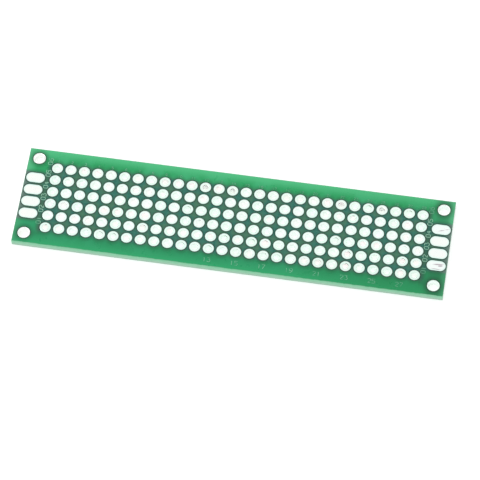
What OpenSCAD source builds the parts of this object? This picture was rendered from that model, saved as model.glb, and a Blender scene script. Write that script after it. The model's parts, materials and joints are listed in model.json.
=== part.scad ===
// Double-sided prototype board with plated holes on a square grid.
// X runs along the board and Y across it. Z is up, and the board lies on z = 0 with the origin
// under its centre. Rows are lettered from the back, a to f, and columns count from the left.

/* [Board] */
// Length of the board, along its rows
board_length = 80; // [79:0.5:120]
// Width of the board, across its rows
board_width = 20; // [19:0.5:40]
// Thickness over the tinned pads of both faces
board_thickness = 1.5; // [0.8:0.1:3.2]

/* [Pin holes] */
// Distance between neighbouring holes, both ways
pitch = 2.54; // [2.3:0.01:2.58]
// Number of columns along the board
columns = 28; // [2:1:28]
// Number of rows across the board
rows = 6; // [3:1:7]
// Diameter of a finished pin hole
hole_diameter = 1; // [0.8:0.05:1.1]
// Diameter of the round pad about a pin hole
pad_diameter = 2.05; // [1.8:0.05:2.1]

/* [Corner holes] */
// Diameter of a finished corner hole
corner_hole_diameter = 2; // [1.6:0.1:2.2]
// Width of the tinned ring about a corner hole, from the edge of the hole
corner_ring_width = 0.16; // [0.14:0.01:0.3]
// Distance from each edge of the board to the centre of a corner hole
corner_inset = 2; // [1.8:0.1:2.4]

/* [End pads] */
// Length of a pad at the end of the board
end_pad_length = 3.5; // [2.5:0.1:3.6]
// Width of a pad at the end of the board
end_pad_width = 2.05; // [1.6:0.05:2.1]
// Gap between the end of the board and the pad
end_pad_inset = 0.26; // [0.1:0.02:0.4]

/* [Metal and coating] */
// Thickness of the tinned copper on each face, at its highest
pad_thickness = 0.07; // [0.05:0.01:0.12]
// How far the tin falls from its highest point to the rim of a pad
tin_crown = 0.025; // [0.01:0.005:0.03]
// Wall of the plating down a hole
plating_wall = 0.05; // [0.03:0.01:0.1]
// Rounding where the tin turns down into a hole
lip_radius = 0.08; // [0.02:0.01:0.12]
// Thickness of the solder mask on each face
mask_thickness = 0.03; // [0.01:0.005:0.035]
// Gap between a pad and the edge of the solder mask
mask_gap = 0.05; // [0.02:0.01:0.08]

/* [Hidden] */
$fn = 48;
// Straight steps in the rounded tin, at a lip and over a crown
lip_steps = 3;
crown_steps = 3;

laminate_bottom = pad_thickness;
laminate_top = board_thickness - pad_thickness;
laminate_thickness = laminate_top - laminate_bottom;

pad_radius = pad_diameter / 2;
hole_radius = hole_diameter / 2;
corner_hole_radius = corner_hole_diameter / 2;
corner_pad_radius = corner_hole_radius + corner_ring_width;
end_pad_x = board_length / 2 - end_pad_inset - end_pad_length / 2;

row_letters = "abcdefghijklmnopqrstuvwxyz";
ends = ["left", "right"];
faces = ["top", "bottom"];
corners = ["back_left", "back_right", "front_left", "front_right"];
// The end pads stand in line with the inner rows
end_pads = rows - 2;

function row_name(row) = str("plated_holes_row_", row_letters[row]);
function corner_name(corner) = str("corner_eyelet_", corners[corner]);
function end_pad_name(end, face, place) = str("end_pad_", ends[end], "_", faces[face], "_", place + 1);

laminate_colour = "#b5d3b4";
mask_colour = "#3f9f6c";
tin_colour = "#dfe3e0";

// Places on the board

function column_x(column) = (column - (columns - 1) / 2) * pitch;
function row_y(row) = ((rows - 1) / 2 - row) * pitch;
function corner_x(corner) = (corner % 2 == 0 ? -1 : 1) * (board_length / 2 - corner_inset);
function corner_y(corner) = (corner < 2 ? 1 : -1) * (board_width / 2 - corner_inset);

module at_columns() {
    for (column = [0 : columns - 1])
        translate([column_x(column), 0]) children();
}

module at_pin_holes() {
    for (row = [0 : rows - 1])
        translate([0, row_y(row)]) at_columns() children();
}

module at_corners() {
    for (corner = [0 : 3])
        translate([corner_x(corner), corner_y(corner)]) children();
}

module at_end_pads() {
    for (side = [-1, 1], place = [0 : end_pads - 1])
        translate([side * end_pad_x, row_y(place + 1)]) children();
}

// Outlines

module board_outline() {
    square([board_length, board_width], center = true);
}

module long_pad_outline(length, width) {
    straight = length - width;
    square([straight, width], center = true);
    for (side = [-1, 1])
        translate([side * straight / 2, 0]) circle(d = width);
}

// The tin's upper surface is level along its crest and then falls ever more steeply to the rim
// of the pad. Points run outwards, from the outer side of the crest.
function crown_arc(crest_radius, rim_radius, height) = [
    for (step = [0 : crown_steps])
        let (share = step / crown_steps)
        [crest_radius + (rim_radius - crest_radius) * share, height - tin_crown * share * share]
];

// A quarter circle turns the tin down into a hole. Points run from the bore up to the top.
function lip_arc(bore_radius, height) = [
    for (step = [0 : lip_steps])
        let (angle = 90 * step / lip_steps)
        [
            bore_radius + lip_radius * (1 - cos(angle)),
            height - lip_radius * (1 - sin(angle))
        ]
];

// Half of an eyelet's section, above the middle of the board. The crest of its tin is the inner
// half of the ring that shows.
function eyelet_half_section(bore_radius, rim_radius, height, seat) = concat(
    lip_arc(bore_radius, height),
    crown_arc((bore_radius + lip_radius + rim_radius) / 2, rim_radius, height),
    [[rim_radius, seat], [bore_radius + plating_wall, seat]]
);

function mirrored_below(points) = [
    for (i = [len(points) - 1 : -1 : 0]) [points[i][0], -points[i][1]]
];

// One piece of metal: a pad on each face and the barrel between them
module eyelet(bore_radius, rim_radius) {
    half = eyelet_half_section(bore_radius, rim_radius, board_thickness / 2, laminate_thickness / 2);
    translate([0, 0, board_thickness / 2])
        rotate_extrude()
            polygon(concat(half, mirrored_below(half)));
}

// Half of a long pad's section, from its middle out to its rim, with its seat on the laminate.
// The middle half of the width is level.
function long_pad_half_section() = concat(
    [[0, 0], [0, pad_thickness]],
    crown_arc(end_pad_width / 4, end_pad_width / 2, pad_thickness),
    [[end_pad_width / 2, 0]]
);

function mirrored_across(points) = [
    for (i = [len(points) - 1 : -1 : 0])
        if (points[i][0] > 0) [-points[i][0], points[i][1]]
];

// A long pad that lies along X, with its seat on z = 0 and half a revolve at each end
module long_pad() {
    half = long_pad_half_section();
    rotate([90, 0, 90])
        linear_extrude(height = end_pad_length - end_pad_width, center = true)
            polygon(concat(half, mirrored_across(half)));
    for (turn = [-90, 90])
        rotate([0, 0, turn])
            translate([0, (end_pad_length - end_pad_width) / 2, 0])
                rotate_extrude(angle = 180) polygon(half);
}

// Pieces of the board

// The sheet of glass-epoxy laminate, drilled wider than each finished hole by the plating
module substrate() {
    color(laminate_colour)
        translate([0, 0, laminate_bottom])
            linear_extrude(height = laminate_thickness)
                difference() {
                    board_outline();
                    at_pin_holes() circle(r = hole_radius + plating_wall);
                    at_corners() circle(r = corner_hole_radius + plating_wall);
                }
}

module solder_mask(z) {
    color(mask_colour)
        translate([0, 0, z])
            linear_extrude(height = mask_thickness)
                difference() {
                    board_outline();
                    at_pin_holes() circle(r = pad_radius + mask_gap);
                    at_corners() circle(r = corner_pad_radius + mask_gap);
                    at_end_pads()
                        long_pad_outline(end_pad_length + 2 * mask_gap, end_pad_width + 2 * mask_gap);
                }
}

module plated_holes_row(row) {
    color(tin_colour)
        translate([0, row_y(row), 0])
            at_columns() eyelet(hole_radius, pad_radius);
}

module corner_eyelet(corner) {
    color(tin_colour)
        translate([corner_x(corner), corner_y(corner), 0])
            eyelet(corner_hole_radius, corner_pad_radius);
}

module end_pad(end, face, place) {
    side = end == 0 ? -1 : 1;
    color(tin_colour)
        translate([side * end_pad_x, row_y(place + 1), face == 0 ? laminate_top : laminate_bottom])
            rotate([face == 0 ? 0 : 180, 0, 0]) long_pad();
}

substrate();
solder_mask(laminate_top);  // solder_mask_top
solder_mask(laminate_bottom - mask_thickness);  // solder_mask_bottom
for (row = [0 : rows - 1])
    plated_holes_row(row);
for (corner = [0 : 3])
    corner_eyelet(corner);
for (end = [0 : 1], face = [0 : 1], place = [0 : end_pads - 1])
    end_pad(end, face, place);
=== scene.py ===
# %% [markdown]
# A double-sided prototype board: a drilled sheet of glass-epoxy laminate, 80 by 20 by 1.5 mm, with green
# solder mask on both faces and a grid of tinned eyelets to solder parts into. Its solids are modelled and
# packed already. This lesson gives every surface its finish, makes the eyelets again with softer tin,
# prints plain numbers and sets up the camera and the light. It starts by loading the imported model, which
# stays where it is: a piece made here goes where the model says, so nothing is fitted by eye.

import json
import math

import bpy
from mathutils import Matrix, Vector


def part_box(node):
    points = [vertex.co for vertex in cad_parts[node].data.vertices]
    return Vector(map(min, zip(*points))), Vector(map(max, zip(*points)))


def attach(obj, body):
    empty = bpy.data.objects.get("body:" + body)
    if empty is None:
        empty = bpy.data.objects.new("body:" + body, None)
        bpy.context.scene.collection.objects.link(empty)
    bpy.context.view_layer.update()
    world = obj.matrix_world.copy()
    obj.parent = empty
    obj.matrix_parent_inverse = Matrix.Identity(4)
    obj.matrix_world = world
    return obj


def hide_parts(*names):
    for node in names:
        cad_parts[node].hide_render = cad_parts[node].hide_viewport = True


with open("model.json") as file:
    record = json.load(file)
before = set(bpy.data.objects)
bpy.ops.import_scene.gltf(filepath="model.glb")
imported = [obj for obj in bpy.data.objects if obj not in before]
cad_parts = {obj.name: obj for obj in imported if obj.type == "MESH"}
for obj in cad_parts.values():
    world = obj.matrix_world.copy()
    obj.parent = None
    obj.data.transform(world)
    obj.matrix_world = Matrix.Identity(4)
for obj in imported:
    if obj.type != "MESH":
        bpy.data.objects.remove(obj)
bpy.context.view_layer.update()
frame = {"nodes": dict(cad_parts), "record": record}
print("nodes:", len(frame["nodes"]))

# %% [markdown]
# Blender works in metres and a board is thought of in millimetres, so MM turns one into the other. The
# sizes are read from the model and its mounts and not typed again, because then a change to the model
# carries the looks along. Only the counts of holes are written here.

# %% Sizes of the board
MM = 0.001
COLUMNS = 28
ROWS = 6

mounts = {mount["name"]: mount for mount in frame["record"]["mounts"]}
first_hole = Vector(mounts["pin_hole_a1"]["pos_m"])
last_hole = Vector(mounts["pin_hole_f28"]["pos_m"])
pitch = (last_hole.x - first_hole.x) / (COLUMNS - 1)
bore_radius = mounts["pin_hole_a1"]["dims"]["r_mm"] * MM
corner_bore_radius = mounts["corner_holes"]["dims"]["hole_r_mm"] * MM
corner_span_x = mounts["corner_holes"]["dims"]["spacing_x_mm"] * MM
corner_span_y = mounts["corner_holes"]["dims"]["spacing_y_mm"] * MM

sheet_low, sheet_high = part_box("substrate")
mask_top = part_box("solder_mask_top")[1].z
row_low, row_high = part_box("plated_holes_row_a")
pad_radius = (row_high.y - row_low.y) / 2
corner_low, corner_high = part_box("corner_eyelet_back_left")
corner_pad_radius = (corner_high.x - corner_low.x) / 2
long_pad_low, long_pad_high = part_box("end_pad_right_top_1")
long_pad_x = (long_pad_low.x + long_pad_high.x) / 2
long_pad_length = long_pad_high.x - long_pad_low.x
long_pad_width = long_pad_high.y - long_pad_low.y
tin_top = row_high.z
middle_height = tin_top / 2
row_number_x = (long_pad_low.x + last_hole.x + pad_radius) / 2
print("pitch %.2f, pad %.3f, long pad %.2f mm" % (pitch / MM, 2 * pad_radius / MM, long_pad_length / MM))


def hole_x(column):
    return first_hole.x + (column - 1) * pitch


def row_y(row):
    return first_hole.y - (row - 1) * pitch


# %% [markdown]
# Colours are written as they look on a screen, in sRGB hex, and Blender calculates in linear light, so one
# function turns one into the other. Another adds every node of every tree below, with its settings and its
# inputs, which are listed in the node's own order or named. An input is a number, a colour, the output of
# another node, or that node itself, which stands for its first output in use.
#
# Six kinds of node come up so often that their names are kept here. Math calculates. Map Range takes a
# value, the start and end of a range, and what it becomes there, 0 and 1 if nothing is said, with a soft
# turn at both. Mix blends two colours by a factor. Noise Texture gives cloudy random values, and its scale
# is one over the size of its grain. The last two take a point apart and put it together.

# %% Adding nodes
MATH, MAP_RANGE, MIX = "ShaderNodeMath", "ShaderNodeMapRange", "ShaderNodeMix"
NOISE, SEPARATE, COMBINE = "ShaderNodeTexNoise", "ShaderNodeSeparateXYZ", "ShaderNodeCombineXYZ"
SMOOTH = {"interpolation_type": "SMOOTHSTEP"}
COLOURS = {"data_type": "RGBA"}


def linear(hex_colour):
    values = [int(hex_colour[i:i + 2], 16) / 255 for i in (1, 3, 5)]
    return tuple(v / 12.92 if v <= 0.04045 else ((v + 0.055) / 1.055) ** 2.4 for v in values) + (1.0,)


def connect(tree, value, socket):
    """Links an output to a socket, or writes a number or a colour into it."""
    if isinstance(value, bpy.types.Node):
        value = next(output for output in value.outputs if output.enabled)
    if isinstance(value, bpy.types.NodeSocket):
        tree.links.new(value, socket)
    elif isinstance(value, str) and value.startswith("#"):
        socket.default_value = linear(value)
    else:
        socket.default_value = value


def add(tree, kind, inputs=(), **settings):
    """Adds a node, makes its settings and then fills the inputs that they leave in use."""
    node = tree.nodes.new(kind)
    for name, value in settings.items():
        setattr(node, name, value)
    sockets = [socket for socket in node.inputs if socket.enabled]
    if isinstance(inputs, dict):
        sockets = [next(socket for socket in sockets if socket.name == name) for name in inputs]
        inputs = inputs.values()
    for socket, value in zip(sockets, inputs):
        connect(tree, value, socket)
    return node


def new_material(name):
    material = bpy.data.materials.new(name)
    material.use_nodes = True
    tree = material.node_tree
    return material, tree, tree.nodes["Principled BSDF"]


print("white is", linear("#ffffff")[:3])

# %% [markdown]
# Many finishes depend on where a point is in the plan of the board. The board is the same on both sides of
# its two middle lines, so the distance from each of them is what counts, and a rectangle about the middle
# is a product of two such distances, each cut off softly.

# %% Places in plan
def flat_distance(tree, x, y):
    point = add(tree, COMBINE, [x, y])
    return add(tree, "ShaderNodeVectorMath", [point], operation="LENGTH")


def from_middle_lines(tree, here):
    """How far a point is from the planes x = 0 and y = 0."""
    axes = add(tree, SEPARATE, [here]).outputs
    return [add(tree, MATH, [axes[name]], operation="ABSOLUTE") for name in "XY"]


def within(tree, away, half_x, half_y, fade):
    """1 inside a rectangle about the middle of the board and 0 outside it, with a soft border."""
    sides = [
        add(tree, MAP_RANGE, [distance, half + fade, half - fade], **SMOOTH)
        for distance, half in zip(away, (half_x, half_y))]
    return add(tree, MATH, sides, operation="MULTIPLY")


print("half of the board in mm:", round(sheet_high.x / MM, 2), round(sheet_high.y / MM, 2))

# %% [markdown]
# The board lies flat and is seen from above, a little from the right, through a long lens. The angles and
# the distance come from matching the board's corners and its holes with their places in the picture, so
# they are odd numbers. The lens is given by how many pixels one radian takes in a picture 480 wide.

# %% Camera
CAMERA_AZIMUTH = math.radians(10.169)
CAMERA_ELEVATION = math.radians(60.926)
CAMERA_ROLL = math.radians(-1.533)
CAMERA_DISTANCE = 592.8 * MM
CAMERA_SLIDE_RIGHT = 1.06 * MM
CAMERA_SLIDE_UP = -2.75 * MM
FOCAL_PIXELS = 3206.5
PICTURE_PIXELS = 480
SENSOR_WIDTH = 36.0


def camera_axes():
    back = Vector((
        math.sin(CAMERA_AZIMUTH) * math.cos(CAMERA_ELEVATION),
        -math.cos(CAMERA_AZIMUTH) * math.cos(CAMERA_ELEVATION),
        math.sin(CAMERA_ELEVATION),
    ))
    right = Vector((math.cos(CAMERA_AZIMUTH), math.sin(CAMERA_AZIMUTH), 0))
    up = back.cross(right)
    cosine, sine = math.cos(CAMERA_ROLL), math.sin(CAMERA_ROLL)
    return cosine * right + sine * up, cosine * up - sine * right, back


right, up, back = camera_axes()
lens = bpy.data.cameras.new("camera")
lens.sensor_width = SENSOR_WIDTH
lens.lens = FOCAL_PIXELS / PICTURE_PIXELS * SENSOR_WIDTH
lens.clip_start = 10 * MM
lens.clip_end = 10
camera = bpy.data.objects.new("camera", lens)
turn = Matrix((right, up, back)).transposed().to_4x4()
place = back * CAMERA_DISTANCE + right * CAMERA_SLIDE_RIGHT + up * CAMERA_SLIDE_UP
camera.matrix_world = Matrix.Translation(place) @ turn
bpy.context.scene.collection.objects.link(camera)
bpy.context.scene.camera = camera
bpy.context.scene.view_settings.view_transform = "Standard"
print("lens %.1f mm" % lens.lens)

# %% [markdown]
# The board is seen in soft light from all around, as in a white tent. Diffuse surfaces get a plain level
# of light, at which a colour comes out as it was written. What the camera sees directly, and what shiny
# metal mirrors, is a whiter white, which Light Path tells apart.

# %% World
SKY_LIGHT = 0.80
SKY_SEEN = 1.0


def seen_directly(tree):
    rays = add(tree, "ShaderNodeLightPath").outputs
    either = add(tree, MATH, [rays["Is Camera Ray"], rays["Is Glossy Ray"]], operation="MAXIMUM")
    return add(tree, MATH, [either, rays["Is Transmission Ray"]], operation="MAXIMUM")


world = bpy.data.worlds.new("soft white room")
world.use_nodes = True
bpy.context.scene.world = world
sky = world.node_tree
strength = add(sky, MAP_RANGE, {"Value": seen_directly(sky), "To Min": SKY_LIGHT, "To Max": SKY_SEEN})
connect(sky, strength, sky.nodes["Background"].inputs["Strength"])
connect(sky, "#ffffff", sky.nodes["Background"].inputs["Color"])
print("light of the sky and what is seen of it:", SKY_LIGHT, SKY_SEEN)

# %% [markdown]
# The board lies on a sheet of white paper. The sheet glows a little for the rays that see it directly, so
# that it comes out white and still keeps the soft shadow of the board. Under the board, where it is seen
# only through the holes, it glows more and a little green, because the board lets light through. The wider
# corner holes let in more of the room's light, so there it glows less.

# %% Floor
PAPER = "#f4f5f4"
FLOOR_GLOW = 0.31
COVERED_GLOW = 0.71
CORNER_GLOW = 0.46
COVERED_TINT = "#f6fcf1"
GLOW_INSET = 0.3 * MM
CORNER_OUTER, CORNER_INNER = 2.4 * MM, 1.6 * MM
FLOOR_SIZE = 3.0


def paper_finish():
    material, tree, surface = new_material("white paper sheet")
    connect(tree, PAPER, surface.inputs["Base Color"])
    surface.inputs["Roughness"].default_value = 0.9
    away = from_middle_lines(tree, add(tree, "ShaderNodeTexCoord").outputs["Object"])
    covered = within(tree, away, sheet_high.x - GLOW_INSET, sheet_high.y - GLOW_INSET, GLOW_INSET)
    tint = add(tree, MIX, [covered, "#ffffff", COVERED_TINT], **COLOURS)
    connect(tree, tint, surface.inputs["Emission Color"])
    sides = [
        add(tree, MAP_RANGE, [distance, span / 2 - CORNER_OUTER, span / 2 - CORNER_INNER], **SMOOTH)
        for distance, span in zip(away, (corner_span_x, corner_span_y))]
    near_corner = add(tree, MATH, sides, operation="MULTIPLY")
    under_board = add(tree, MAP_RANGE, [near_corner, 0, 1, COVERED_GLOW, CORNER_GLOW], **SMOOTH)
    level = add(tree, MAP_RANGE, [covered, 0, 1, FLOOR_GLOW, under_board], **SMOOTH)
    glow = add(tree, MATH, [seen_directly(tree), level], operation="MULTIPLY")
    connect(tree, glow, surface.inputs["Emission Strength"])
    return material


mesh = bpy.data.meshes.new("floor")
half = FLOOR_SIZE / 2
corners = [(-half, -half, 0), (half, -half, 0), (half, half, 0), (-half, half, 0)]
mesh.from_pydata(corners, [], [(0, 1, 2, 3)])
floor = bpy.data.objects.new("floor", mesh)
floor.data.materials.append(paper_finish())
bpy.context.scene.collection.objects.link(floor)
print("floor", FLOOR_SIZE, "m wide")

# %% [markdown]
# One large soft lamp, high on the left, gives the light a direction: it brightens the edges that face it,
# and stands where the mask and the tin don't mirror it into the camera. It is an area lamp, because a small
# one would print hard glints. Its strength is worked out from the light that it should add on the board.

# %% Lamp
LAMP_SIZE = 0.5
LAMP_DISTANCE = 0.7
LAMP_AZIMUTH = math.radians(-95)
LAMP_ELEVATION = math.radians(52)
LAMP_SHARE = 0.20


def add_lamp():
    towards = Vector((
        math.sin(LAMP_AZIMUTH) * math.cos(LAMP_ELEVATION),
        math.cos(LAMP_AZIMUTH) * math.cos(LAMP_ELEVATION),
        math.sin(LAMP_ELEVATION),
    ))
    light = bpy.data.lights.new("soft box", "AREA")
    light.size = LAMP_SIZE
    light.energy = LAMP_SHARE * (math.pi * LAMP_DISTANCE) ** 2 / math.sin(LAMP_ELEVATION)
    lamp = bpy.data.objects.new("soft box", light)
    lamp.location = towards * LAMP_DISTANCE
    lamp.rotation_euler = towards.to_track_quat("Z", "Y").to_euler()
    bpy.context.scene.collection.objects.link(lamp)
    return light.energy


print("lamp %.2f W" % add_lamp())

# %% [markdown]
# The laminate is FR-4: sheets of woven glass pressed together with epoxy. It shows at the cut edges and in
# the hair-thin gap about each pad. At a cut edge each glass ply is a pale line and the resin between two
# plies a greener one, the saw leaves short marks, and the light that comes through the mask tints the upper
# part mint. The two end faces are painted paler, as light falling on them. In the gaps the bare resin has
# nothing pale behind it, and the narrow gap's shade is painted in as well, so it looks dark. A Wave texture
# along Z draws the plies at their real spacing, stretched noise draws the saw's marks, and the height and
# the direction of the surface tell the places apart.

# %% Glass-epoxy laminate
PLY_SPACING = 0.19 * MM
WAVE_PERIOD = math.pi / 10
PLY_GREEN_HIGH, PLY_PALE_HIGH = "#74d29d", "#8adcae"
PLY_GREEN_LOW, PLY_PALE_LOW = "#a4cbb4", "#bbdac9"
LIT_END_GREEN, LIT_END_PALE = "#e0f0e6", "#f3fcf7"
GAP_RESIN_AND_SHADE = "#1a3f2d"
SAW_PALE = "#cfe6d6"
SAW_GRAIN = 0.2 * MM
SAW_STRETCH = (0.18, 0.18, 1.6)
SAW_DEPTH = 0.02 * MM
SAW_MARKS = (0.4, 0.75, 0.0, 0.5)
END_MARKS, END_MARKS_WEIGHT = (0.35, 0.65), 0.4
END_SHADES = (0.2, 1.2)
FACES_END = (0.7, 0.9)
FACES_UP_OR_DOWN = (0.4, 0.6)


def long_edge_colour(tree, here, plies, saw):
    height = add(tree, SEPARATE, [here]).outputs["Z"]
    low = add(tree, MIX, [plies, PLY_GREEN_LOW, PLY_PALE_LOW], **COLOURS)
    high = add(tree, MIX, [plies, PLY_GREEN_HIGH, PLY_PALE_HIGH], **COLOURS)
    rise = add(tree, MAP_RANGE, [height, sheet_low.z, sheet_high.z], **SMOOTH)
    colour = add(tree, MIX, [rise, low, high], **COLOURS)
    sawn = add(tree, MAP_RANGE, [saw, *SAW_MARKS], **SMOOTH)
    return add(tree, MIX, [sawn, colour, SAW_PALE], **COLOURS)


# Painted light: the end faces are paler than the long edges, as light falling on them.
def end_colour(tree, plies, saw):
    sawn = add(tree, MAP_RANGE, [saw, *END_MARKS], **SMOOTH)
    sawn = add(tree, MATH, [sawn, END_MARKS_WEIGHT, plies], operation="MULTIPLY_ADD")
    sawn = add(tree, MAP_RANGE, [sawn, *END_SHADES], **SMOOTH)
    return add(tree, MIX, [sawn, LIT_END_GREEN, LIT_END_PALE], **COLOURS)


def faces_along(tree, name, limits):
    """1 where the surface faces along this axis, either way, and 0 where it faces away from it."""
    normal = add(tree, "ShaderNodeNewGeometry").outputs["True Normal"]
    facing = add(tree, SEPARATE, [normal]).outputs[name]
    facing = add(tree, MATH, [facing], operation="ABSOLUTE")
    return add(tree, MAP_RANGE, [facing, *limits], **SMOOTH)


def laminate_finish():
    material, tree, surface = new_material("glass-epoxy laminate, sawn")
    here = add(tree, "ShaderNodeTexCoord").outputs["Object"]
    wave = {
        "Vector": here, "Scale": WAVE_PERIOD / PLY_SPACING, "Distortion": 1.2, "Detail": 1.0,
        "Detail Scale": 0.4}
    plies = add(tree, "ShaderNodeTexWave", wave, bands_direction="Z").outputs["Fac"]
    stretched = add(tree, "ShaderNodeMapping", {"Vector": here, "Scale": SAW_STRETCH})
    grain = {"Vector": stretched, "Scale": 1 / SAW_GRAIN, "Detail": 5.0, "Roughness": 0.65}
    saw = add(tree, NOISE, grain).outputs["Fac"]
    colour = long_edge_colour(tree, here, plies, saw)
    at_end = faces_along(tree, "X", FACES_END)
    colour = add(tree, MIX, [at_end, colour, end_colour(tree, plies, saw)], **COLOURS)
    # The gap about each pad is dark, partly bare resin and partly painted shade of the narrow gap.
    in_gap = faces_along(tree, "Z", FACES_UP_OR_DOWN)
    colour = add(tree, MIX, [in_gap, colour, GAP_RESIN_AND_SHADE], **COLOURS)
    connect(tree, colour, surface.inputs["Base Color"])
    surface.inputs["Roughness"].default_value = 0.62
    surface.inputs["IOR"].default_value = 1.45
    bump = add(tree, "ShaderNodeBump", {"Height": saw, "Strength": 0.5, "Distance": SAW_DEPTH})
    connect(tree, bump, surface.inputs["Normal"])
    return material


laminate = laminate_finish()
print(laminate.name)

# %% [markdown]
# Solder mask is a green epoxy, poured on as a liquid and hardened by light. The sheet under it lets light
# through, so the green is bright along the cut edges, where light comes in, and dark near metal, which
# stops it. That needs the distance to the nearest pad at every point. Snapping a coordinate to the pitch
# and holding it inside the grid gives the centre of the nearest round pad, and the corner rings and the
# long pads have a distance of their own. The least of the three is the one that counts.

# %% Distance to the nearest pad
def nearest_centre(tree, value, count):
    """The centre of the nearest of an even number of places, one pitch apart about the middle."""
    last = (count - 1) / 2 * pitch
    centre = add(tree, MATH, [value, pitch], operation="SNAP")
    for operation, other in (("ADD", pitch / 2), ("MAXIMUM", -last), ("MINIMUM", last)):
        centre = add(tree, MATH, [centre, other], operation=operation)
    return centre


def from_nearest_hole(tree, here):
    """Where a point is from the middle of the nearest pin hole, along X and along Y."""
    axes = add(tree, SEPARATE, [here]).outputs
    return [
        add(tree, MATH, [axes[name], nearest_centre(tree, axes[name], count)], operation="SUBTRACT")
        for name, count in (("X", COLUMNS), ("Y", ROWS))]


def distance_to_long_pad(tree, here, away):
    """A long pad is all that is near its straight middle line. Inside a pad this is negative."""
    along = add(tree, MATH, [away[0], long_pad_x], operation="SUBTRACT")
    along = add(tree, MATH, [along], operation="ABSOLUTE")
    past_line = add(tree, MATH, [along, (long_pad_length - long_pad_width) / 2], operation="SUBTRACT")
    past_line = add(tree, MATH, [past_line, 0.0], operation="MAXIMUM")
    y = add(tree, SEPARATE, [here]).outputs["Y"]
    across = add(tree, MATH, [y, nearest_centre(tree, y, ROWS - 2)], operation="SUBTRACT")
    reach = flat_distance(tree, past_line, across)
    return add(tree, MATH, [reach, long_pad_width / 2], operation="SUBTRACT")


def distance_to_metal(tree, here, away):
    reach = flat_distance(tree, *from_nearest_hole(tree, here))
    to_round = add(tree, MATH, [reach, pad_radius], operation="SUBTRACT")
    from_corner = [
        add(tree, MATH, [distance, span / 2], operation="SUBTRACT")
        for distance, span in zip(away, (corner_span_x, corner_span_y))]
    reach = flat_distance(tree, *from_corner)
    to_corner = add(tree, MATH, [reach, corner_pad_radius], operation="SUBTRACT")
    nearest = add(tree, MATH, [to_round, to_corner], operation="MINIMUM")
    return add(tree, MATH, [nearest, distance_to_long_pad(tree, here, away)], operation="MINIMUM")


def distance_to_cut(tree, away):
    inwards = [
        add(tree, MATH, [edge, distance], operation="SUBTRACT")
        for distance, edge in zip(away, (sheet_high.x, sheet_high.y))]
    return add(tree, MATH, inwards, operation="MINIMUM")


print("columns and rows on the grid:", COLUMNS, ROWS)

# %% [markdown]
# Away from the pads the mask is a clear green, in patches. It is painted brighter along the back than along
# the front, as light from behind, and brighter still along the cut edges. Towards the right of the front and
# the right end it is painted darker, as shade, less so right at the cut.

# %% Open mask
PATCH_GRAIN = 4 * MM
PATCHES = (0.38, 0.62)
OPEN_BACK = ("#1b9f5c", "#34ad70")
OPEN_FRONT = ("#0f8d57", "#1c9662")
FRONT_TO_BACK = (sheet_low.y * 0.8, sheet_high.y * 0.8)
LIT_FRONT, LIT_BACK = "#22a266", "#4bc081"
LIT_WIDTH = 2.2 * MM
FRONT_SHADE_GREEN, RIGHT_END_SHADE_GREEN = "#007f42", "#0b5a38"
SHADE_ALONG_FRONT = (8 * MM, 32 * MM)
FRONT_SHADE_SHARE, BACK_SHADE_SHARE = 0.46, 0.1
SHADE_AT_RIGHT_END = (35.5 * MM, 37.5 * MM)
RIGHT_END_SHADE_SHARE = 0.42
LESS_SHADE_AT_CUT = (0.2 * MM, 1.2 * MM, 0.1, 1.0)


# Painted shade: darker towards the right of the front and at the right end, fading out at the cut.
def thicker_mask(tree, x, back, from_end, green):
    towards_front = add(tree, MAP_RANGE, [back, 0, 1, FRONT_SHADE_SHARE, BACK_SHADE_SHARE], **SMOOTH)
    right_shade = add(tree, MAP_RANGE, [x, *SHADE_ALONG_FRONT], **SMOOTH)
    right_shade = add(tree, MATH, [towards_front, right_shade], operation="MULTIPLY")
    green = add(tree, MIX, [right_shade, green, FRONT_SHADE_GREEN], **COLOURS)
    shade_away_from_cut = add(tree, MAP_RANGE, [from_end, *LESS_SHADE_AT_CUT], **SMOOTH)
    right_shade = add(tree, MAP_RANGE, [x, *SHADE_AT_RIGHT_END, 0.0, RIGHT_END_SHADE_SHARE], **SMOOTH)
    right_shade = add(tree, MATH, [right_shade, shade_away_from_cut], operation="MULTIPLY")
    return add(tree, MIX, [right_shade, green, RIGHT_END_SHADE_GREEN], **COLOURS)


def open_mask(tree, here, cut, from_end):
    axes = add(tree, SEPARATE, [here]).outputs
    # Painted light: the back of the board is brighter than the front.
    back = add(tree, MAP_RANGE, [axes["Y"], *FRONT_TO_BACK], **SMOOTH)
    patches = add(tree, NOISE, {"Vector": here, "Scale": 1 / PATCH_GRAIN, "Detail": 3.0}).outputs["Fac"]
    patches = add(tree, MAP_RANGE, [patches, *PATCHES], **SMOOTH)
    front_green = add(tree, MIX, [patches, *OPEN_FRONT], **COLOURS)
    back_green = add(tree, MIX, [patches, *OPEN_BACK], **COLOURS)
    green = add(tree, MIX, [back, front_green, back_green], **COLOURS)
    lit = add(tree, MAP_RANGE, [cut, LIT_WIDTH, 0.0], **SMOOTH)
    lit_green = add(tree, MIX, [back, LIT_FRONT, LIT_BACK], **COLOURS)
    green = add(tree, MIX, [lit, green, lit_green], **COLOURS)
    return thicker_mask(tree, axes["X"], back, from_end, green)


# The painted shade on the right starts this many mm right of the middle.
print("mask thickens from", round(SHADE_ALONG_FRONT[0] / MM), "mm right of the middle")

# %% [markdown]
# Among the pads the mask is greyer and drifts between teal and olive. Under the row numbers, at both ends
# of the grid, it is darker again, on the right more than on the left.

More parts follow.
